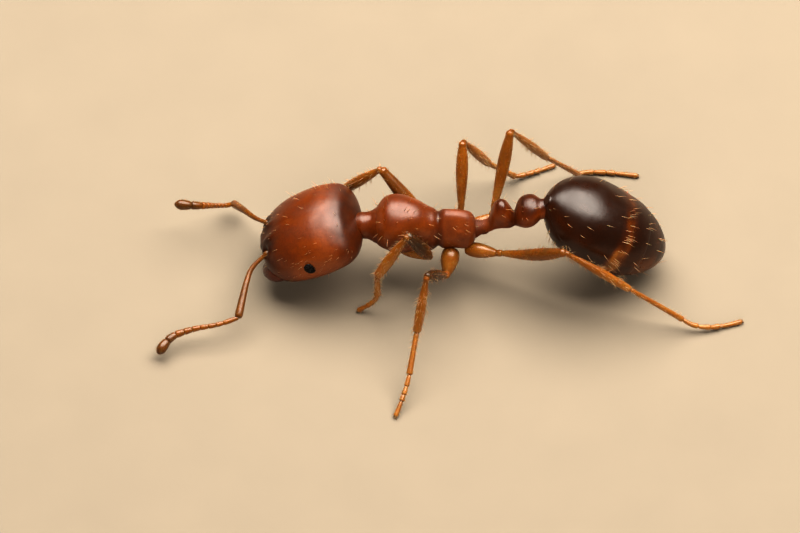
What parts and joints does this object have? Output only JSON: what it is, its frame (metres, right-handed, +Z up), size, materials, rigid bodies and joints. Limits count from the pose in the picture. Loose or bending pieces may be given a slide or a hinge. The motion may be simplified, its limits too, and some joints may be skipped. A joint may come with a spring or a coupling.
{
  "type": "fire ant",
  "caption": "Fire ant, a major worker, life size, standing with its feelers spread: large head, slender trunk, two-lobed waist and dark egg-shaped gaster.",
  "frame": {"origin": "on the floor, under the middle of the whole spread of legs, feelers and body", "axes": "+Z up, -Y the way the ant faces, +X its left side"},
  "size_m": [0.0048, 0.0088, 0.0021],
  "materials": {
    "cuticle": null,
    "gaster": "glossy very dark brown cuticle with amber rear edges",
    "limb": "translucent amber cuticle",
    "mandible": "dark red-brown hard cuticle",
    "eye": "black, finely facetted"
  },
  "bodies": {
    "root": {"antenna_club_left": "limb", "antenna_club_right": "limb", "antenna_funiculus_left": "limb", "antenna_funiculus_right": "limb", "antenna_scape_left": "limb", "antenna_scape_right": "limb", "eye_left": "eye", "eye_right": "eye", "fore_left_basitarsus": "limb", "fore_left_coxa": "limb", "fore_left_femur": "limb", "fore_left_tarsus": "limb", "fore_left_tibia": "limb", "fore_right_basitarsus": "limb", "fore_right_coxa": "limb", "fore_right_femur": "limb", "fore_right_tarsus": "limb", "fore_right_tibia": "limb", "gaster_1": "gaster", "gaster_2": "gaster", "gaster_3": "gaster", "gaster_4": "gaster", "head": "cuticle", "hind_left_basitarsus": "limb", "hind_left_coxa": "limb", "hind_left_femur": "limb", "hind_left_tarsus": "limb", "hind_left_tibia": "limb", "hind_right_basitarsus": "limb", "hind_right_coxa": "limb", "hind_right_femur": "limb", "hind_right_tarsus": "limb", "hind_right_tibia": "limb", "mandible_left": "mandible", "mandible_right": "mandible", "mid_left_basitarsus": "limb", "mid_left_coxa": "limb", "mid_left_femur": "limb", "mid_left_tarsus": "limb", "mid_left_tibia": "limb", "mid_right_basitarsus": "limb", "mid_right_coxa": "limb", "mid_right_femur": "limb", "mid_right_tarsus": "limb", "mid_right_tibia": "limb", "neck": "cuticle", "petiole": "cuticle", "postpetiole": "cuticle", "thorax_front": "cuticle", "thorax_rear": "cuticle"}
  },
  "joints": []
}
